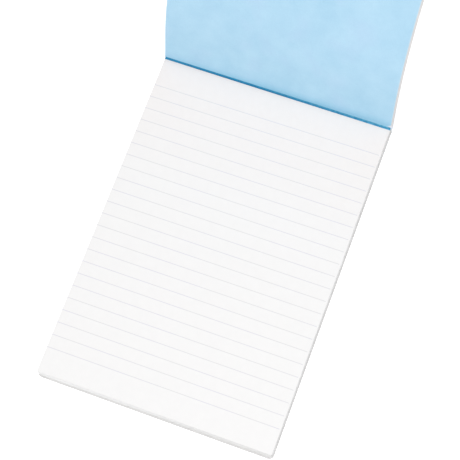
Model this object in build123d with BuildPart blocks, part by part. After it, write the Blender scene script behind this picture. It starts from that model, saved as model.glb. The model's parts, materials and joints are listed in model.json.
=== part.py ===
from build123d import *
from math import cos, degrees, radians, sin
import os

# A top-bound A5 writing pad with its cover flipped open over the head.
# The origin is the centre of the back board's underside. X runs across the page, Y from its foot
# to its head and Z up. All sizes are in millimetres.

# Ruled sheets. At the foot they fan out a little, so the lowest one reaches furthest.
sheet_width = 148.0
sheet_length = 209.5
sheet_count = 50
sheet_thickness = 0.095
sheet_corner_radius = 1.0
foot_fan = 0.85

# Back board, which stands out past the sheets at both sides and at the foot
board_thickness = 0.8
left_ledge = 1.0
right_ledge = 0.7
foot_ledge = 1.15
board_corner_radius = 3.0

# Binding along the head
glue_thickness = 0.3
tape_thickness = 0.15
tape_back_lap = 15.0
tape_cover_lap = 14.0
fold_slack = 0.2

# Cover. Its board stands out past the sheets at the right, and its lining is as wide as the sheets.
cover_thickness = 0.45
cover_overhang = 1.3
lining_thickness = 0.12
cover_corner_radius = 3.0
hinge_gap = 1.8
closed_clearance = 0.3

# How the open cover stands and bends. It is straight along its tape, turns most at its crown,
# eases off over a shoulder and ends in a nearly flat tail.
open_slope = 66.0
straight_past_tape = 4.0
crown_radius = 105.0
crown_length = 66.0
shoulder_radius = 200.0
shoulder_length = 50.0
tail_radius = 600.0

block_height = sheet_count * sheet_thickness
page_height = board_thickness + block_height
board_width = left_ledge + sheet_width + right_ledge
board_length = sheet_length + foot_fan + foot_ledge
head = board_length / 2
foot = -board_length / 2
sheets_left = left_ledge - board_width / 2
tape_width = sheet_width + right_ledge
cover_width = sheet_width + cover_overhang

# The fold of the tape is the hinge line. It stands as high above the page as the closed cover's back does.
fold_y = head + glue_thickness + tape_thickness / 2
fold_z = page_height + closed_clearance + lining_thickness + cover_thickness + tape_thickness / 2

# The closed cover reaches the foot of the back board
cover_reach = fold_y - foot
bend_start = hinge_gap + tape_cover_lap + straight_past_tape
tail_length = cover_reach - bend_start - crown_length - shoulder_length
bends = [(crown_length, crown_radius), (shoulder_length, shoulder_radius), (tail_length, tail_radius)]

os.makedirs("parts", exist_ok=True)


def cover_plane(x):
    """The cover's profile plane: its X runs up the cover from the fold and its Y towards the lining."""
    up_the_cover = (0, cos(radians(open_slope)), sin(radians(open_slope)))
    return Plane(origin=(x, fold_y, fold_z), x_dir=up_the_cover, z_dir=(1, 0, 0))


def cover_band(depth, thickness):
    """Draw one bent layer of the cover, whose back lies a depth in front of the tape's middle."""
    edge = Line((hinge_gap, depth), (bend_start, depth))
    for length, radius in bends:
        edge = JernArc(edge @ 1, edge % 1, radius + depth, -degrees(length / radius))
    offset(amount=thickness, side=Side.LEFT)


def short_edges(end_face):
    """The two short edges of a layer's end face, which are its corners."""
    return end_face.edges().sort_by(SortBy.LENGTH)[:2]


# Ruled sheets, trimmed square at the head and glued into one block
with BuildPart() as sheet_block:
    with BuildSketch(Plane.YZ.offset(sheets_left)):
        with BuildLine():
            top_foot = (head - sheet_length, page_height)
            lowest_foot = (head - sheet_length - foot_fan, board_thickness)
            Polyline((head, board_thickness), (head, page_height), top_foot, lowest_foot, close=True)
        make_face()
    extrude(amount=sheet_width)
    fillet(short_edges(sheet_block.faces().sort_by(Axis.Y)[0]), sheet_corner_radius)
sheet_block.part.label = "sheet_block"

# Back board with rounded corners at its foot. The tape is pressed into its underside, so the pad lies flat.
with BuildPart() as back_board:
    with BuildSketch(Plane.XY):
        Rectangle(board_width, board_length)
    extrude(amount=board_thickness)
    fillet(back_board.edges().filter_by(Axis.Z).group_by(Axis.Y)[0], board_corner_radius)
    with BuildSketch(Plane.XY):
        with Locations((sheets_left, head)):
            Rectangle(tape_width, tape_back_lap, align=(Align.MIN, Align.MAX))
    extrude(amount=tape_thickness, mode=Mode.SUBTRACT)
back_board.part.label = "back_board"

# Film of glue over the head of the sheets and the board
with BuildPart() as padding_glue:
    with BuildSketch(Plane.XY.offset(tape_thickness)):
        with Locations((sheets_left, head)):
            Rectangle(sheet_width, glue_thickness, align=(Align.MIN, Align.MIN))
    extrude(amount=page_height - tape_thickness)
padding_glue.part.label = "padding_glue"

# The pad's half of the binding tape: under the board, round the head and up to the fold. It is flush with
# the sheets at the left and with the board at the right.
with BuildPart() as tape_on_pad:
    with BuildSketch(Plane.YZ.offset(sheets_left)):
        with BuildLine():
            lap_end = (head - tape_back_lap, tape_thickness)
            lower_corner = (head + glue_thickness, tape_thickness)
            upper_end = (head + glue_thickness, fold_z - fold_slack)
            Polyline(lap_end, lower_corner, upper_end)
            offset(amount=tape_thickness, side=Side.RIGHT)
        make_face()
    extrude(amount=tape_width)
tape_on_pad.part.label = "tape_on_pad"

# The cover's half of the tape, flat against the back of the cover board
with BuildPart() as tape_on_cover:
    with BuildSketch(cover_plane(sheets_left)):
        with Locations((fold_slack, 0)):
            Rectangle(
                hinge_gap + tape_cover_lap - fold_slack,
                tape_thickness,
                align=(Align.MIN, Align.CENTER),
            )
    extrude(amount=cover_width)
tape_on_cover.part.label = "tape_on_cover"

# Cover board, bent back over the head
with BuildPart() as cover_board:
    with BuildSketch(cover_plane(sheets_left)):
        with BuildLine():
            cover_band(tape_thickness / 2, cover_thickness)
        make_face()
    extrude(amount=cover_width)
    fillet(short_edges(cover_board.faces().sort_by(Axis.Y)[-1]), cover_corner_radius)
cover_board.part.label = "cover_board"

# Lining paper over the inner face of the cover board, flush with the sheets at both sides
with BuildPart() as cover_lining:
    with BuildSketch(cover_plane(sheets_left)):
        with BuildLine():
            cover_band(tape_thickness / 2 + cover_thickness, lining_thickness)
        make_face()
    extrude(amount=sheet_width)
    fillet(short_edges(cover_lining.faces().sort_by(Axis.Y)[-1]), cover_corner_radius)
cover_lining.part.label = "cover_lining"

pieces = [sheet_block, back_board, padding_glue, tape_on_pad, tape_on_cover, cover_board, cover_lining]
for piece in pieces:
    export_step(piece.part, f"parts/{piece.part.label}.step")
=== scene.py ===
"""A top-bound writing pad with its cover flipped open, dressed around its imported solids."""

import json
import math
import random

import bpy
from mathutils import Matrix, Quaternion, Vector


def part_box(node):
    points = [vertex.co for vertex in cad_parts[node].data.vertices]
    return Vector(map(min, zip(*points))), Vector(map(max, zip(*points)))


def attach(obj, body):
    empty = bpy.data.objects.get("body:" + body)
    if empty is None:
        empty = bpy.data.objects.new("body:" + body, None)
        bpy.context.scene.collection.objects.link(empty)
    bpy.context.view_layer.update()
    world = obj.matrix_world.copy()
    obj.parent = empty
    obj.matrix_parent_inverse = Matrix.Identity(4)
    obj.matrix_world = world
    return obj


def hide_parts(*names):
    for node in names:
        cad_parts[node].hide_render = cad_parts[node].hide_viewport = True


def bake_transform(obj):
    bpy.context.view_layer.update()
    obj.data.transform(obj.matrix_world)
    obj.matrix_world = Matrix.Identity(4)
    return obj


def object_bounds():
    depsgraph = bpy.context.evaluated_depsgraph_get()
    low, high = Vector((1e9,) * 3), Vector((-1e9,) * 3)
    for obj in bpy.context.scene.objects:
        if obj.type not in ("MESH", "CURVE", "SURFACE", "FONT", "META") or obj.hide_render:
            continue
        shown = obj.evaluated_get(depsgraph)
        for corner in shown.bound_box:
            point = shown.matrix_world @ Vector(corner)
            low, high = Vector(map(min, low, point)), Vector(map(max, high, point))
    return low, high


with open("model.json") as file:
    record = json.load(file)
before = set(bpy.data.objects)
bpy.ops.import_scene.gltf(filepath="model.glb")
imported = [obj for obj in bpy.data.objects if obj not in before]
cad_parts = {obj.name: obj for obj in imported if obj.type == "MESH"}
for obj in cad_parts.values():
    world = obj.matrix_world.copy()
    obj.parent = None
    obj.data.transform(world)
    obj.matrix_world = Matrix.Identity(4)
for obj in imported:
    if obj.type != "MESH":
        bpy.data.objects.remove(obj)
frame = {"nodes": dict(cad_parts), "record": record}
cad_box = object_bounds()

MM = 0.001
random.seed(7)

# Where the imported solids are
SHEETS_LOW, SHEETS_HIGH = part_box("sheet_block")
GLUE_LOW, GLUE_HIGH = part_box("padding_glue")
TAPE_LOW, TAPE_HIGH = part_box("tape_on_pad")
BOARD_LOW, BOARD_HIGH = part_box("back_board")
COVER_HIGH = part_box("cover_board")[1]
FOLD = Vector(frame["record"]["behaviour"]["joints"][0]["pos_m"])

# Sheets, which fan out a little at the foot
SHEET_COUNT = 50
SHEET_WIDTH = SHEETS_HIGH.x - SHEETS_LOW.x
SHEET_LENGTH = SHEETS_HIGH.y - SHEETS_LOW.y
SHEET_THICKNESS = (SHEETS_HIGH.z - SHEETS_LOW.z) / SHEET_COUNT
SHEET_CORNER = 1.0 * MM
FOOT_FAN = 0.85 * MM
TOP_FOOT = SHEETS_LOW.y + FOOT_FAN

# Their uneven trim
HEAD_OUT = 0.28 * MM
HEAD_SKEW = 0.85 * MM
RIGHT_IN_AT_FOOT = 0.064 * MM
RIGHT_IN_AT_HEAD = 0.16 * MM
LEFT_OUT_AT_FOOT = 0.6 * MM
STACK_JITTER = 0.04 * MM
GROOVE_DEPTH = 0.04 * MM
GROOVE_HEIGHT = 0.02 * MM

# Ruled lines, counted from the foot of the page
RULE_COUNT = 23
RULE_PITCH = 8.0 * MM
FIRST_RULE = 15.77 * MM
RULE_WIDTH = 0.46 * MM
RULE_STOP = 1.0 * MM

# Glue film, whose uneven upper edge is a little below the page
GLUE_LEAST_DROP = 0.21 * MM
GLUE_MOST_DROP = 0.3 * MM

# Tape, which bends within a short zone round the fold
TAPE_THICKNESS = 0.15 * MM
TAPE_END = 15.8 * MM
BEND_ZONE = 0.6 * MM

# Cover, with the bends of its solids
OPEN_SLOPE = math.radians(66.0)
COVER_THICKNESS = 0.45 * MM
LINING_THICKNESS = 0.12 * MM
COVER_CORNER = 3.0 * MM
COVER_REACH = FOLD.y - BOARD_LOW.y
STRAIGHT = 19.8 * MM
CROWN_LENGTH = 66.0 * MM
CROWN_RADIUS = 105.0 * MM
SHOULDER_LENGTH = 50.0 * MM
SHOULDER_RADIUS = 200.0 * MM
TAIL_LENGTH = COVER_REACH - STRAIGHT - CROWN_LENGTH - SHOULDER_LENGTH
TAIL_RADIUS = 600.0 * MM
BENDS = [(CROWN_LENGTH, CROWN_RADIUS), (SHOULDER_LENGTH, SHOULDER_RADIUS), (TAIL_LENGTH, TAIL_RADIUS)]

# How the cover is put together a little askew, and its lining's clipped corner
BARE_FOLD_LEFT = 2.2 * MM
BARE_FOLD_RIGHT = 1.25 * MM
SKEW_AT_FOLD = 0.5 * MM
SKEW_CHANGE = -1.1 * MM
SKEW_LENGTH = 60.0 * MM
LINING_CLIP = 2.1 * MM

# Wear, paling, painted shade and a painted tint. A pair of reaches gives where it has faded to nought and
# where it is full.
WEAR_SCALE = 420
WEAR_LEAST = 0.3
SHEET_WEAR_REACH = 1.2 * MM
SHEET_WEAR = 0.25
# Painted warm tint near the paper's head, offsetting the cover's blue reflection
HEAD_TINT_REACH = (75 * MM, 12 * MM)
HEAD_TINT = 0.85
# Painted shade on the sheets' foot faces, darker towards the right
FOOT_SHADE_REACH = 1.0 * MM
FOOT_SHADE_LEFT = -0.1
FOOT_SHADE_RIGHT = 0.5
CARD_WEAR_REACH = 1.3 * MM
BOARD_WEAR = 0.25
COVER_WEAR = 0.8
TAPE_WEAR_REACH = 0.8 * MM
TAPE_CORNER_REACH = 1.2 * MM
TAPE_WEAR = 0.5
# The tape is paler near the fold, more so towards the right
FOLD_REACH = (2.6 * MM, 1.6 * MM)
FOLD_PALING = 0.75
FOLD_PALING_START = -15 * MM
LINING_WEAR_REACH = 0.7 * MM
LINING_WEAR = 0.5
# Painted shade on the lining near the fold
CREASE_LENGTH = 30.0 * MM
CREASE_SLANT = -0.02
CREASE_PALING = 0.3
TORN_REACH = (2.6 * MM, 0.8 * MM)
TORN_LINING = 0.6

# Studio
FLOOR_REACH = 4.0
FLOOR_DROP = 0.02 * MM
FLOOR_GLOW = 0.55
LAMP_PLACE = Vector((0.4, -0.65, 1.8))
LAMP_AIM = Vector((0, 0.05, 0))
LAMP_SIZE = 1.6
LAMP_POWER = 25
SKY_STRENGTH = 0.52

# Camera, found from the page's corners, its ruling and the cover's edges
CAMERA_PLACE = Vector((0.179778, -0.198754, 0.884449))
CAMERA_AIM = Vector((0.003943, 0.014903, 0.00555))
CAMERA_ROLL = math.radians(-19.751)
FOCAL_PIXELS = 1534.2
IMAGE_PIXELS = 460
SENSOR = 36.0


def mesh_piece(name, points, faces, materials, face_slots=None, smooth_angle=30):
    """A mesh object from points and faces, shaded smooth up to an angle."""
    mesh = bpy.data.meshes.new(name)
    mesh.from_pydata(points, [], faces)
    for material in materials:
        mesh.materials.append(material)
    if face_slots:
        mesh.polygons.foreach_set("material_index", face_slots)
    mesh.validate()
    mesh.update()
    piece = bpy.data.objects.new(name, mesh)
    bpy.context.scene.collection.objects.link(piece)
    mesh.shade_smooth()
    mesh.set_sharp_from_angle(angle=math.radians(smooth_angle))
    return piece


def closed_sheet(rows, columns):
    """Faces of a thin sheet, whose front and back are grids of points, closed round its rim.

    Every cell of the grid gives its front face and then its back face.
    """
    wide = columns + 1
    back = rows * wide
    faces = []
    for r in range(rows - 1):
        for c in range(columns):
            a = r * wide + c
            faces.append((a, a + 1, a + 1 + wide, a + wide))
            faces.append((back + a + wide, back + a + 1 + wide, back + a + 1, back + a))
    rim = list(range(wide)) + [r * wide + columns for r in range(1, rows)]
    rim += [(rows - 1) * wide + c for c in range(columns - 1, -1, -1)]
    rim += [r * wide for r in range(rows - 2, 0, -1)]
    for a, b in zip(rim, rim[1:] + rim[:1]):
        faces.append((b, a, back + a, back + b))
    return faces


def cover_point(x, run, depth):
    """The point of the open cover at a run from the fold, depth in front of the tape's middle."""
    slope = OPEN_SLOPE
    straight = min(run, STRAIGHT)
    y = FOLD.y - depth * math.sin(slope) + straight * math.cos(slope)
    z = FOLD.z + depth * math.cos(slope) + straight * math.sin(slope)
    left = run - straight
    for length, radius in BENDS:
        part = min(left, length)
        if part <= 0:
            break
        turned = slope - part / radius
        y += (radius + depth) * (math.sin(slope) - math.sin(turned))
        z += (radius + depth) * (math.cos(turned) - math.cos(slope))
        slope = turned
        left -= part
    return (x, y, z)


def bare_fold(x):
    """How far up from the fold the cover's layers start, where only the tape shows."""
    share = (x - SHEETS_LOW.x) / SHEET_WIDTH
    return BARE_FOLD_LEFT + (BARE_FOLD_RIGHT - BARE_FOLD_LEFT) * share


def cover_left(run):
    """The left edge of the cover, which isn't cut quite square."""
    share = min(run / SKEW_LENGTH, 1.0)
    return SHEETS_LOW.x + SKEW_AT_FOLD + SKEW_CHANGE * share * share * (3 - 2 * share)


class Shader:
    """A small helper that lays out a node material."""

    def __init__(self, name):
        self.material = bpy.data.materials.new(name)
        self.material.use_nodes = True
        self.tree = self.material.node_tree
        self.surface = self.tree.nodes["Principled BSDF"]
        self.coords = self.tree.nodes.new("ShaderNodeTexCoord").outputs["Object"]

    def feed(self, value, socket):
        """Link an output to a socket, or set a plain value on it."""
        if isinstance(value, bpy.types.NodeSocket):
            self.tree.links.new(value, socket)
        else:
            socket.default_value = value

    def math(self, operation, first, second):
        node = self.tree.nodes.new("ShaderNodeMath")
        node.operation = operation
        self.feed(first, node.inputs[0])
        self.feed(second, node.inputs[1])
        return node.outputs[0]

    def vector(self, operation, first, second):
        node = self.tree.nodes.new("ShaderNodeVectorMath")
        node.operation = operation
        self.feed(first, node.inputs[0])
        self.feed(second, node.inputs[1])
        return node.outputs["Value" if operation in ("DOT_PRODUCT", "DISTANCE") else "Vector"]

    def split(self, vector):
        node = self.tree.nodes.new("ShaderNodeSeparateXYZ")
        self.feed(vector, node.inputs[0])
        return node.outputs

    def spread(self, value, start, end, low=0.0, high=1.0):
        """Low where a value is at its start, high at its end, and held beyond them."""
        node = self.tree.nodes.new("ShaderNodeMapRange")
        self.feed(value, node.inputs["Value"])
        node.inputs["From Min"].default_value = start
        node.inputs["From Max"].default_value = end
        node.inputs["To Min"].default_value = low
        node.inputs["To Max"].default_value = high
        return node.outputs["Result"]

    def noise(self, scale, detail=3.0, roughness=0.5, stretch=(1, 1, 1)):
        mapping = self.tree.nodes.new("ShaderNodeMapping")
        self.feed(self.coords, mapping.inputs["Vector"])
        mapping.inputs["Scale"].default_value = stretch
        node = self.tree.nodes.new("ShaderNodeTexNoise")
        node.inputs["Scale"].default_value = scale
        node.inputs["Detail"].default_value = detail
        node.inputs["Roughness"].default_value = roughness
        self.feed(mapping.outputs["Vector"], node.inputs["Vector"])
        return node.outputs["Fac"]

    def ramp(self, value, stops):
        node = self.tree.nodes.new("ShaderNodeValToRGB")
        ramp = node.color_ramp
        while len(ramp.elements) < len(stops):
            ramp.elements.new(0.5)
        for element, (position, colour) in zip(ramp.elements, stops):
            element.position = position
            element.color = (*colour, 1)
        self.feed(value, node.inputs["Fac"])
        return node.outputs["Color"]

    def tones(self, noise, dark, light, low=0.3, high=0.7):
        """A colour that goes from dark to light over the range that a noise mostly has."""
        return self.ramp(noise, [(low, dark), (high, light)])

    def mix(self, kind, factor, first, second):
        node = self.tree.nodes.new("ShaderNodeMix")
        node.data_type = "RGBA"
        node.blend_type = kind
        self.feed(factor, node.inputs["Factor"])
        for value, socket in ((first, node.inputs[6]), (second, node.inputs[7])):
            self.feed((*value, 1) if isinstance(value, tuple) else value, socket)
        return node.outputs[2]

    def bump(self, height, strength, distance):
        node = self.tree.nodes.new("ShaderNodeBump")
        node.inputs["Strength"].default_value = strength
        node.inputs["Distance"].default_value = distance
        self.feed(height, node.inputs["Height"])
        self.feed(node.outputs["Normal"], self.surface.inputs["Normal"])

    def patches(self, value, most):
        """A value broken up into patches, with its most where it is strongest."""
        broken = self.spread(self.noise(WEAR_SCALE, 4), 0.35, 0.65, WEAR_LEAST * most, most)
        return self.math("MULTIPLY", value, broken)

    def edge_wear(self, low, high, reach):
        """One along the edges of an upright box, fading to nought a reach inside them."""
        from_low = self.vector("SUBTRACT", self.coords, (*low, -1))
        from_high = self.vector("SUBTRACT", (*high, 1), self.coords)
        inside = self.split(self.vector("MINIMUM", from_low, from_high))
        return self.spread(self.math("MINIMUM", inside["X"], inside["Y"]), reach, 0.0)

    def fold_nearness(self):
        """One near the fold of the tape, fading to nought at a distance from it."""
        across = self.vector("MULTIPLY", self.coords, (0, 1, 1))
        return self.spread(self.vector("DISTANCE", across, (0, FOLD.y, FOLD.z)), *FOLD_REACH)

    def torn_corner(self):
        """One at the right corner of the lining beside the fold, where its face has come away."""
        right = SHEETS_HIGH.x
        corner = cover_point(right, bare_fold(right), TAPE_THICKNESS / 2 + COVER_THICKNESS)
        return self.spread(self.vector("DISTANCE", self.coords, corner), *TORN_REACH)

    def crease_shade(self):
        """Painted shade: deeper blue on the lining near the hinge, where the fold lies in shade, less so
        towards the right.
        """
        way = (CREASE_SLANT, math.cos(OPEN_SLOPE), math.sin(OPEN_SLOPE))
        start = FOLD.y * math.cos(OPEN_SLOPE) + FOLD.z * math.sin(OPEN_SLOPE) + bare_fold(0)
        run = self.spread(self.vector("DOT_PRODUCT", self.coords, way), start, start + CREASE_LENGTH)
        deep, middle = (0.52, 0.74, 0.82), (0.73, 0.875, 0.92)
        pale, faint, none = (0.91, 0.955, 0.975), (0.955, 0.985, 0.99), (1, 1, 1)
        shade = self.ramp(run, [(0.0, deep), (0.075, middle), (0.17, pale), (0.3, faint), (1.0, none)])
        paler = self.spread(self.split(self.coords)["X"], 0.0, SHEETS_HIGH.x, 0.0, CREASE_PALING)
        return self.mix("MIX", paler, shade, none)

    def finish(self, colour, grain, smooth, rough, specular):
        """Set the colour, and a roughness that goes from smooth to rough with a grain."""
        self.feed(colour, self.surface.inputs["Base Color"])
        self.feed(self.spread(grain, 0.3, 0.7, smooth, rough), self.surface.inputs["Roughness"])
        self.surface.inputs["Specular IOR Level"].default_value = specular
        return self.material


def paper_material():
    """White writing paper with a fine tooth, a little soiled at its edges, with a painted warm tint near
    its head that offsets the blue the cover reflects there.
    """
    shader = Shader("writing_paper")
    cloud = shader.tones(shader.noise(260, 4), (0.912, 0.905, 0.903), (0.928, 0.92, 0.917))
    # Painted tint: warmer near the head, offsetting the blue that the cover reflects onto it
    far, near = (SHEETS_HIGH.y - reach for reach in HEAD_TINT_REACH)
    head_tint = shader.spread(shader.split(shader.coords)["Y"], far, near, 0.0, HEAD_TINT)
    yellower = shader.mix("MULTIPLY", head_tint, cloud, (1.0, 0.963, 0.95))
    edges = shader.edge_wear((SHEETS_LOW.x, TOP_FOOT), (SHEETS_HIGH.x, 1), SHEET_WEAR_REACH)
    colour = shader.mix("MIX", shader.patches(edges, SHEET_WEAR), yellower, (0.86, 0.853, 0.845))
    tooth = shader.noise(2600, 3)
    shader.bump(tooth, 0.12, 0.05 * MM)
    return shader.finish(colour, tooth, 0.78, 0.92, 0.25)


def edge_material():
    """The trimmed edges of the sheets: fine streaks along every sheet, a few stains, and painted shade
    that darkens the foot faces towards the right.
    """
    shader = Shader("trimmed_edges")
    streaks = shader.noise(1, 4, stretch=(60, 60, 9000))
    trimmed = shader.tones(streaks, (0.80, 0.80, 0.80), (0.89, 0.89, 0.89), 0.35, 0.65)
    place = shader.split(shader.coords)
    # Painted shade: the foot faces darken towards the right; the noise adds real stains in the same grey
    foot = shader.spread(place["Y"], TOP_FOOT + FOOT_SHADE_REACH, TOP_FOOT)
    right = shader.spread(place["X"], SHEETS_LOW.x, SHEETS_HIGH.x, FOOT_SHADE_LEFT, FOOT_SHADE_RIGHT)
    stains = shader.spread(shader.noise(30, 3), 0.5, 0.75, 0.0, 0.15)
    shade_and_stains = shader.math("MAXIMUM", shader.math("MULTIPLY", foot, right), stains)
    colour = shader.mix("MIX", shade_and_stains, trimmed, (0.67, 0.665, 0.655))
    shader.bump(streaks, 0.25, 0.05 * MM)
    return shader.finish(colour, streaks, 0.95, 0.8, 0.2)


def ink_material():
    """Ruling ink between pale lilac and grey, broken up a little over the tooth of the paper."""
    shader = Shader("ruling_ink")
    grain = shader.noise(1800, 3)
    lilac = shader.tones(grain, (0.735, 0.727, 0.79), (0.785, 0.777, 0.84), 0.3, 0.75)
    grey = shader.tones(grain, (0.75, 0.747, 0.757), (0.80, 0.797, 0.807), 0.3, 0.75)
    colour = shader.mix("MIX", shader.spread(shader.noise(45, 2), 0.4, 0.6), lilac, grey)
    return shader.finish(colour, grain, 0.7, 0.88, 0.25)


def card_material(name, low, high, wear):
    """Light grey board with mottling, fibres, edges rubbed paler and a trace of the torn lining."""
    shader = Shader(name)
    cloud = shader.tones(shader.noise(220, 5), (0.635, 0.628, 0.625), (0.695, 0.688, 0.685))
    fibres = shader.noise(1, 2, stretch=(900, 2600, 1500))
    specks = shader.tones(fibres, (0, 0, 0), (1, 1, 1), 0.66, 0.72)
    board = shader.mix("MIX", specks, cloud, (0.5, 0.49, 0.475))
    rubbed = shader.patches(shader.edge_wear(low, high, CARD_WEAR_REACH), wear)
    worn = shader.mix("MIX", rubbed, board, (0.78, 0.765, 0.77))
    colour = shader.mix("MIX", shader.torn_corner(), worn, (0.72, 0.77, 0.86))
    grain = shader.noise(1500, 4)
    shader.bump(grain, 0.15, 0.08 * MM)
    return shader.finish(colour, grain, 0.8, 0.95, 0.25)


def glue_material():
    """Dried white padding glue with brush marks along the head."""
    shader = Shader("padding_glue")
    marks = shader.noise(1, 3, stretch=(90, 1200, 1200))
    colour = shader.tones(marks, (0.78, 0.79, 0.76), (0.88, 0.89, 0.86))
    shader.bump(marks, 0.4, 0.05 * MM)
    return shader.finish(colour, marks, 0.32, 0.55, 0.5)


def tape_material():
    """Dark blue binding tape, embossed with a fine grain, rubbed paler at its edges, and paler near its
    fold towards the right.
    """
    shader = Shader("binding_tape")
    tone = shader.tones(shader.noise(350, 4), (0.005, 0.195, 0.395), (0.008, 0.245, 0.465))
    lap_end = FOLD.y + TAPE_END * math.cos(OPEN_SLOPE)
    edges = shader.edge_wear((TAPE_LOW.x, TAPE_LOW.y), (COVER_HIGH.x, lap_end), TAPE_WEAR_REACH)
    rise = shader.vector("DOT_PRODUCT", shader.coords, (0, -1, 1))
    lower_corner = shader.spread(rise, TAPE_CORNER_REACH - FOLD.y, -FOLD.y)
    worn = shader.patches(shader.math("MAXIMUM", edges, lower_corner), TAPE_WEAR)
    rubbed = shader.mix("MIX", worn, tone, (0.13, 0.42, 0.62))
    # Paler near the fold, more so towards the right
    right = shader.spread(shader.split(shader.coords)["X"], FOLD_PALING_START, SHEETS_HIGH.x)
    paled = shader.patches(shader.math("MULTIPLY", shader.fold_nearness(), right), FOLD_PALING)
    colour = shader.mix("MIX", paled, rubbed, (0.17, 0.55, 0.75))
    grain = shader.tree.nodes.new("ShaderNodeTexVoronoi")
    grain.inputs["Scale"].default_value = 2200
    shader.feed(shader.coords, grain.inputs["Vector"])
    shader.bump(grain.outputs["Distance"], 0.35, 0.06 * MM)
    return shader.finish(colour, shader.noise(700, 4), 0.42, 0.68, 0.3)


def lining_material():
    """Light blue paper with soft clouds, faint lilac patches and a fine fleck, pale along its edges, with
    painted shade towards the fold.
    """
    shader = Shader("blue_lining")
    clouds = shader.tones(shader.noise(70, 5, 0.6), (0.42, 0.67, 0.848), (0.488, 0.73, 0.898))
    lilac = shader.tones(shader.noise(38, 3), (0, 0, 0), (1, 1, 1), 0.5, 0.9)
    tinted = shader.mix("MIX", lilac, clouds, (0.49, 0.678, 0.88))
    fleck = shader.tones(shader.noise(1400, 3), (0.96, 0.96, 0.97), (1, 1, 1))
    flecked = shader.mix("MULTIPLY", 1.0, tinted, fleck)
    # Painted shade: the lining darkens towards the fold
    shaded = shader.mix("MULTIPLY", 1.0, flecked, shader.crease_shade())
    edges = shader.edge_wear((SHEETS_LOW.x, 0), (SHEETS_HIGH.x, COVER_HIGH.y), LINING_WEAR_REACH)
    rubbed = shader.mix("MIX", shader.patches(edges, LINING_WEAR), shaded, (0.66, 0.80, 0.90))
    torn = shader.math("MULTIPLY", shader.torn_corner(), TORN_LINING)
    colour = shader.mix("MIX", torn, rubbed, (0.74, 0.82, 0.93))
    grain = shader.noise(900, 5, 0.6)
    shader.bump(grain, 0.2, 0.08 * MM)
    return shader.finish(colour, grain, 0.66, 0.85, 0.3)


def seen_rays(tree):
    """One for rays from the camera, or mirrored or let through on their way, and nought for others."""
    path = tree.nodes.new("ShaderNodeLightPath")
    value = path.outputs["Is Camera Ray"]
    for kind in ("Is Glossy Ray", "Is Transmission Ray"):
        either = tree.nodes.new("ShaderNodeMath")
        either.operation = "MAXIMUM"
        tree.links.new(value, either.inputs[0])
        tree.links.new(path.outputs[kind], either.inputs[1])
        value = either.outputs[0]
    return value


def floor_material():
    """White floor that the camera sees as white, with the object's shadow kept."""
    material = bpy.data.materials.new("studio_floor")
    material.use_nodes = True
    tree = material.node_tree
    tree.nodes.remove(tree.nodes["Principled BSDF"])
    diffuse = tree.nodes.new("ShaderNodeBsdfDiffuse")
    diffuse.inputs["Color"].default_value = (0.9, 0.9, 0.9, 1)
    glow = tree.nodes.new("ShaderNodeEmission")
    glow.inputs["Strength"].default_value = FLOOR_GLOW
    both = tree.nodes.new("ShaderNodeAddShader")
    choose = tree.nodes.new("ShaderNodeMixShader")
    tree.links.new(diffuse.outputs[0], both.inputs[0])
    tree.links.new(glow.outputs[0], both.inputs[1])
    tree.links.new(seen_rays(tree), choose.inputs["Fac"])
    tree.links.new(diffuse.outputs[0], choose.inputs[1])
    tree.links.new(both.outputs[0], choose.inputs[2])
    tree.links.new(choose.outputs[0], tree.nodes["Material Output"].inputs["Surface"])
    return material


PAPER = paper_material()
EDGES = edge_material()
INK = ink_material()
BOARD_CARD = card_material("grey_board", (BOARD_LOW.x, BOARD_LOW.y), (BOARD_HIGH.x, 1), BOARD_WEAR)
COVER_CARD = card_material("cover_card", (SHEETS_LOW.x, 0), (COVER_HIGH.x, COVER_HIGH.y), COVER_WEAR)
GLUE = glue_material()
TAPE = tape_material()
LINING = lining_material()


def head_line(x):
    """The trimmed head of the sheets, which runs a little out of square towards the right."""
    return SHEETS_HIGH.y + HEAD_OUT - HEAD_SKEW * (x - SHEETS_LOW.x) / SHEET_WIDTH


def right_line(y):
    """The right side of the sheets, which comes in a little towards the head."""
    share = (y - SHEETS_LOW.y) / SHEET_LENGTH
    return SHEETS_HIGH.x - RIGHT_IN_AT_FOOT - (RIGHT_IN_AT_HEAD - RIGHT_IN_AT_FOOT) * share


def left_line(y):
    """The left side of the sheets, which comes out a little towards the foot."""
    return SHEETS_LOW.x - LEFT_OUT_AT_FOOT * (SHEETS_HIGH.y - y) / SHEET_LENGTH


def straight_edge(start, end, steps):
    """Points from a start towards an end, without the end itself."""
    shares = [i / steps for i in range(steps)]
    return [(start[0] + (end[0] - start[0]) * s, start[1] + (end[1] - start[1]) * s) for s in shares]


def corner_arc(x, y, start, steps):
    """Points along a quarter turn of a sheet's corner round its centre, without the last one."""
    angles = [start + math.pi / 2 * i / steps for i in range(steps)]
    return [(x + SHEET_CORNER * math.cos(angle), y + SHEET_CORNER * math.sin(angle)) for angle in angles]


def sheet_outline(inset, foot, side_steps=14, corner_steps=4):
    """Points round one sheet, anticlockwise from the head's left corner, drawn in by an inset."""
    foot += inset
    above = foot + SHEET_CORNER
    left, head_left = left_line(foot) + inset, left_line(SHEETS_HIGH.y) + inset
    right, head_right = right_line(foot) - inset, right_line(SHEETS_HIGH.y) - inset
    start, end = (head_left, head_line(head_left)), (head_right, head_line(head_right))
    points = straight_edge(start, (left, above), side_steps)
    points += corner_arc(left + SHEET_CORNER, above, math.pi, corner_steps)
    points += straight_edge((left + SHEET_CORNER, foot), (right - SHEET_CORNER, foot), side_steps)
    points += corner_arc(right - SHEET_CORNER, above, 1.5 * math.pi, corner_steps)
    points += straight_edge((right, above), end, side_steps)
    return points + [end]


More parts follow.
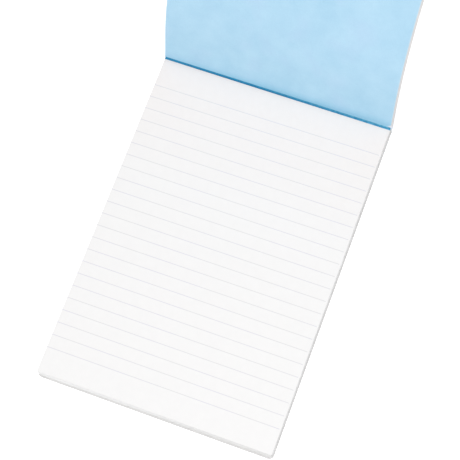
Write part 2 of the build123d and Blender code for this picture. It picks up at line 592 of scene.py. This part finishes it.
def page_stack():
    """All the sheets but the first, each with its own trimmed edge and a groove to the next."""
    points, faces = [], []
    count = len(sheet_outline(0, TOP_FOOT))

    def add_loop(inset, foot, z):
        points.extend((x, y, z) for x, y in sheet_outline(inset, foot))

    for sheet in range(SHEET_COUNT - 1):
        low = SHEETS_LOW.z + sheet * SHEET_THICKNESS
        foot = SHEETS_LOW.y + FOOT_FAN * sheet / (SHEET_COUNT - 1)
        inset = random.uniform(0, STACK_JITTER)
        add_loop(inset, foot, low)
        add_loop(inset, foot, low + SHEET_THICKNESS - GROOVE_HEIGHT)
        add_loop(inset + GROOVE_DEPTH, foot, low + SHEET_THICKNESS - GROOVE_HEIGHT / 2)
    loops = len(points) // count
    for loop in range(loops - 1):
        for i in range(count):
            a, b = loop * count + i, loop * count + (i + 1) % count
            faces.append((a, b, b + count, a + count))
    faces.append(tuple(reversed(range(count))))
    faces.append(tuple((loops - 1) * count + i for i in range(count)))
    piece = mesh_piece("page_stack", points, faces, [EDGES], smooth_angle=20)
    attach(piece, "pad")
    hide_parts("sheet_block")


def rule_edges():
    """The low and high edge of every ruled line, in the frame's Y."""
    middles = [TOP_FOOT + FIRST_RULE + i * RULE_PITCH for i in range(RULE_COUNT)]
    return [(middle - RULE_WIDTH / 2, middle + RULE_WIDTH / 2) for middle in middles]


def first_page(columns=25, corner_steps=5):
    """The top sheet. Its ruled lines are faces of their own, and stop short of its last column."""
    page_slot, edge_slot, ink_slot = range(3)
    top = SHEETS_HIGH.z
    wide = columns + 1

    def across(y):
        start, end = left_line(y), right_line(y)
        ruled = end - RULE_STOP - start
        return [start + ruled * c / (columns - 1) for c in range(columns)] + [end]

    rows, inked = [TOP_FOOT + SHEET_CORNER], []
    for low, high in rule_edges():
        rows += [(rows[-1] + low) / 2, low, high]
        inked.append(rows.index(low))
    rows.append((rows[-1] + SHEETS_HIGH.y) / 2)
    head_row = len(rows)
    points = [(x, y, top) for y in rows for x in across(y)]
    points += [(x, head_line(x), top) for x in across(SHEETS_HIGH.y)]
    faces, slots = [], []
    for r in range(head_row):
        for c in range(columns):
            a = r * wide + c
            faces.append((a, a + 1, a + 1 + wide, a + wide))
            slots.append(ink_slot if r in inked and c < columns - 1 else page_slot)

    # The strip along the foot, with its rounded corners
    left, right = left_line(TOP_FOOT) + SHEET_CORNER, right_line(TOP_FOOT) - SHEET_CORNER
    foot = corner_arc(left, rows[0], math.pi, corner_steps)[1:] + [(left, TOP_FOOT)]
    foot += corner_arc(right, rows[0], 1.5 * math.pi, corner_steps)
    foot_line = [0, *range(len(points), len(points) + len(foot)), columns]
    points += [(x, y, top) for x, y in foot]
    faces.append((*foot_line, *range(columns - 1, 0, -1)))
    slots.append(page_slot)

    # The sheet's edge and its underside
    rim = foot_line + [r * wide + columns for r in range(1, head_row + 1)]
    rim += [head_row * wide + c for c in range(columns - 1, -1, -1)]
    rim += [r * wide for r in range(head_row - 1, 0, -1)]
    below = {index: len(points) + i for i, index in enumerate(rim)}
    points += [(*points[index][:2], top - SHEET_THICKNESS) for index in rim]
    for a, b in zip(rim, rim[1:] + rim[:1]):
        faces.append((b, a, below[a], below[b]))
        slots.append(edge_slot)
    faces.append(tuple(below[index] for index in reversed(rim)))
    slots.append(edge_slot)
    piece = mesh_piece("first_page", points, faces, [PAPER, EDGES, INK], slots)
    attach(piece, "pad")


def bent_layer(name, depth, thickness, right, clip, material, steps=90, corner_steps=6, columns=20):
    """One layer of the cover as a closed sheet, with rounded corners at its free end."""
    end = COVER_REACH - COVER_CORNER
    runs = [0.0, LINING_CLIP / 2, LINING_CLIP]
    runs += [LINING_CLIP + (end - LINING_CLIP) * i / steps for i in range(1, steps + 1)]
    for i in range(1, corner_steps + 1):
        runs.append(end + COVER_CORNER * math.sin(math.pi / 2 * i / corner_steps))
    points = []
    for side_depth in (depth + thickness, depth):
        for run in runs:
            past = max(0.0, run - end)
            corner = COVER_CORNER - math.sqrt(max(COVER_CORNER ** 2 - past ** 2, 0))
            low = cover_left(run) + corner
            high = right - corner - max(0.0, clip - run)
            for c in range(columns + 1):
                x = low + (high - low) * c / columns
                points.append(cover_point(x, run + bare_fold(x) * (1 - run / COVER_REACH), side_depth))
    piece = mesh_piece(name, points, closed_sheet(len(runs), columns), [material])
    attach(piece, "cover")
    return piece


def cover_layers():
    """The cover's card and the blue paper that lines it."""
    card_depth = TAPE_THICKNESS / 2
    card = bent_layer("cover_card", card_depth, COVER_THICKNESS, COVER_HIGH.x, 0, COVER_CARD)
    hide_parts("cover_board")
    lining_depth = card_depth + COVER_THICKNESS
    lining = bent_layer(
        "cover_lining_paper", lining_depth, LINING_THICKNESS, SHEETS_HIGH.x, LINING_CLIP, LINING
    )
    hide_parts("cover_lining")


def glue_film(columns=60):
    """The film of padding glue over the head. Its uneven upper edge is coloured like the tape."""
    points = []
    for side in (0, 1):
        for c in range(columns + 1):
            x = GLUE_LOW.x + (GLUE_HIGH.x - GLUE_LOW.x) * c / columns
            y = GLUE_HIGH.y if side else head_line(x)
            # Two waves of different lengths, which together stay between nought and one
            wave = 0.5 + 0.25 * math.sin(0.9 * c) + 0.25 * math.sin(2.3 * c + 1)
            drop = GLUE_LEAST_DROP + (GLUE_MOST_DROP - GLUE_LEAST_DROP) * wave
            points.append((x, y, GLUE_LOW.z))
            points.append((x, y, GLUE_HIGH.z - drop))
    back = 2 * (columns + 1)
    last = 2 * columns
    faces = [(0, 1, back + 1, back), (last, back + last, back + last + 1, last + 1)]
    slots = [0, 0]
    for a in range(0, last, 2):
        b = a + back
        faces += [(a, a + 2, a + 3, a + 1), (b, b + 1, b + 3, b + 2)]
        faces += [(a + 1, a + 3, b + 3, b + 1), (a, b, b + 2, a + 2)]
        slots += [0, 0, 1, 0]
    piece = mesh_piece("glue_film", points, faces, [GLUE, TAPE], slots)
    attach(piece, "pad")
    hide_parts("padding_glue")


def tape_profile(lap_steps=6, corner_steps=5, rise_steps=8, fold_steps=12, cover_steps=12):
    """The middle of the tape from under the board to the cover's back.

    Every point has its Y, Z, slope and share on the cover.
    """
    half = TAPE_THICKNESS / 2
    lap_end = TAPE_LOW.y
    lap_z = TAPE_LOW.z + half
    middle = []
    for i in range(lap_steps + 1):
        middle.append((lap_end + (FOLD.y - half - lap_end) * i / lap_steps, lap_z, 0.0, 0.0))
    for i in range(1, corner_steps):
        angle = math.pi / 2 * i / corner_steps
        y = FOLD.y - half * (1 - math.sin(angle))
        middle.append((y, lap_z + half * (1 - math.cos(angle)), angle, 0.0))
    rise = FOLD.z - BEND_ZONE - lap_z - half
    for i in range(rise_steps + 1):
        middle.append((FOLD.y, lap_z + half + rise * i / rise_steps, math.pi / 2, 0.0))
    for i in range(1, fold_steps):
        share = i / fold_steps
        z = FOLD.z + BEND_ZONE * (2 * share - 1)
        turn = share * share * (3 - 2 * share)
        past = max(0.0, z - FOLD.z)
        angle = math.pi / 2 - (math.pi / 2 - OPEN_SLOPE) * turn
        middle.append((FOLD.y + past / math.tan(OPEN_SLOPE), z, angle, turn))
    start = BEND_ZONE / math.sin(OPEN_SLOPE)
    for i in range(cover_steps + 1):
        _, y, z = cover_point(0, start + (TAPE_END - start) * i / cover_steps, 0)
        middle.append((y, z, OPEN_SLOPE, 1.0))
    return middle


def binding_tape(columns=40):
    """The whole strip of tape: under the board, round the head, over the fold and up the cover's back.

    The front of its last column, right of the sheets, is coloured like the card that it lies on.
    """
    half = TAPE_THICKNESS / 2
    middle = tape_profile()
    points = []
    for side in (1, -1):
        for y, z, angle, on_cover in middle:
            off_y, off_z = -math.sin(angle) * half * side, math.cos(angle) * half * side
            left = TAPE_LOW.x + SKEW_AT_FOLD * on_cover
            right = TAPE_HIGH.x + (COVER_HIGH.x - TAPE_HIGH.x) * on_cover
            across = [left + (SHEETS_HIGH.x - left) * c / (columns - 1) for c in range(columns)] + [right]
            points.extend((x, y + off_y, z + off_z) for x in across)
    faces = closed_sheet(len(middle), columns)
    slots = [0] * len(faces)
    for row in range(1, len(middle)):
        slots[2 * (row * columns - 1)] = 1
    piece = mesh_piece("binding_tape", points, faces, [TAPE, COVER_CARD], slots, smooth_angle=60)
    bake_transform(piece)
    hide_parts("tape_on_pad", "tape_on_cover")


def dress_solids():
    """The material of the solid that stays."""
    board = frame["nodes"]["back_board"]
    board.data.materials.clear()
    board.data.materials.append(BOARD_CARD)


def studio():
    """A plain pale floor, one broad lamp and an even sky."""
    mesh = bpy.data.meshes.new("floor")
    corners = [(-1, -1), (1, -1), (1, 1), (-1, 1)]
    mesh.from_pydata([(FLOOR_REACH * x, FLOOR_REACH * y, 0) for x, y in corners], [], [(0, 1, 2, 3)])
    mesh.materials.append(floor_material())
    floor = bpy.data.objects.new("floor", mesh)
    floor.location.z = cad_box[0].z - FLOOR_DROP
    bpy.context.scene.collection.objects.link(floor)

    lamp = bpy.data.lights.new("key", "AREA")
    lamp.shape = "SQUARE"
    lamp.size = LAMP_SIZE
    lamp.energy = LAMP_POWER
    key = bpy.data.objects.new("key", lamp)
    key.location = LAMP_PLACE
    key.rotation_mode = "QUATERNION"
    key.rotation_quaternion = (LAMP_AIM - LAMP_PLACE).to_track_quat("-Z", "Y")
    bpy.context.scene.collection.objects.link(key)

    world = bpy.data.worlds.new("sky")
    bpy.context.scene.world = world
    world.use_nodes = True
    tree = world.node_tree
    light = tree.nodes["Background"]
    light.inputs["Color"].default_value = (1, 1, 1, 1)
    light.inputs["Strength"].default_value = SKY_STRENGTH
    white = tree.nodes.new("ShaderNodeBackground")
    white.inputs["Color"].default_value = (1, 1, 1, 1)
    choose = tree.nodes.new("ShaderNodeMixShader")
    tree.links.new(seen_rays(tree), choose.inputs["Fac"])
    tree.links.new(light.outputs[0], choose.inputs[1])
    tree.links.new(white.outputs[0], choose.inputs[2])
    tree.links.new(choose.outputs[0], tree.nodes["World Output"].inputs["Surface"])
    bpy.context.scene.view_settings.view_transform = "Standard"


def camera():
    """The photograph's view of the pad."""
    data = bpy.data.cameras.new("camera")
    data.sensor_width = SENSOR
    data.lens = FOCAL_PIXELS / IMAGE_PIXELS * SENSOR
    shot = bpy.data.objects.new("camera", data)
    shot.location = CAMERA_PLACE
    shot.rotation_mode = "QUATERNION"
    look = (CAMERA_AIM - CAMERA_PLACE).to_track_quat("-Z", "Y")
    shot.rotation_quaternion = look @ Quaternion((0, 0, 1), CAMERA_ROLL)
    bpy.context.scene.collection.objects.link(shot)
    bpy.context.scene.camera = shot


camera()
page_stack()
first_page()
cover_layers()
glue_film()
binding_tape()
dress_solids()
studio()
